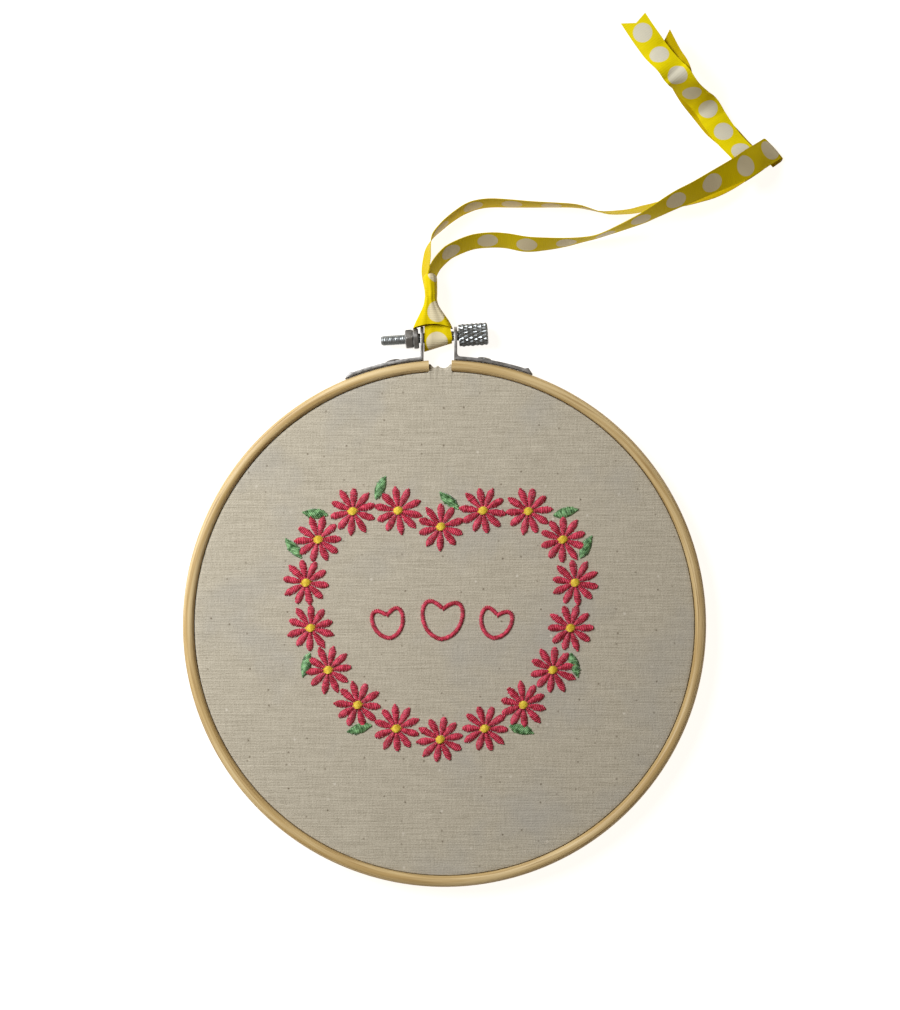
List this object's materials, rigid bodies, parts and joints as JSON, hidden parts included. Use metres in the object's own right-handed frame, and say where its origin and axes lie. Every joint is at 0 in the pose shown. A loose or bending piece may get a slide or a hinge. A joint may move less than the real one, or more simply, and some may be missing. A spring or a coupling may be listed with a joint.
{
  "type": "embroidery hoop with stretched embroidered cloth",
  "caption": "Round bamboo embroidery hoop holding stretched calico worked with a heart-shaped daisy garland, with a knurled clamping screw and a dotted ribbon to hang it by.",
  "frame": {"origin": "on the surface it lies on, under the middle of the box round the hoop and its closing, the ribbon left out", "axes": "+Z out of the cloth's face, +Y from the hoop's middle towards the clamping screw, +X to the right of someone looking at the face"},
  "size_m": [0.231, 0.3361, 0.0207],
  "materials": {
    "bamboo": "sanded, thinly lacquered",
    "calico": "plain weave, unbleached",
    "zinc_steel": "zinc plated",
    "ribbon": "grosgrain ribbon with printed dots",
    "red_thread": "embroidery thread, satin stitch",
    "yellow_thread": "embroidery thread, satin stitch",
    "green_thread": "embroidery thread, satin stitch"
  },
  "bodies": {
    "root": {"outer_hoop": "bamboo", "inner_hoop": "bamboo", "cloth": "calico", "bracket_left": "zinc_steel", "bracket_right": "zinc_steel", "rivet_left": "zinc_steel", "rivet_right": "zinc_steel", "screw": "zinc_steel", "nut": "zinc_steel", "ribbon": "ribbon"}
  },
  "joints": []
}
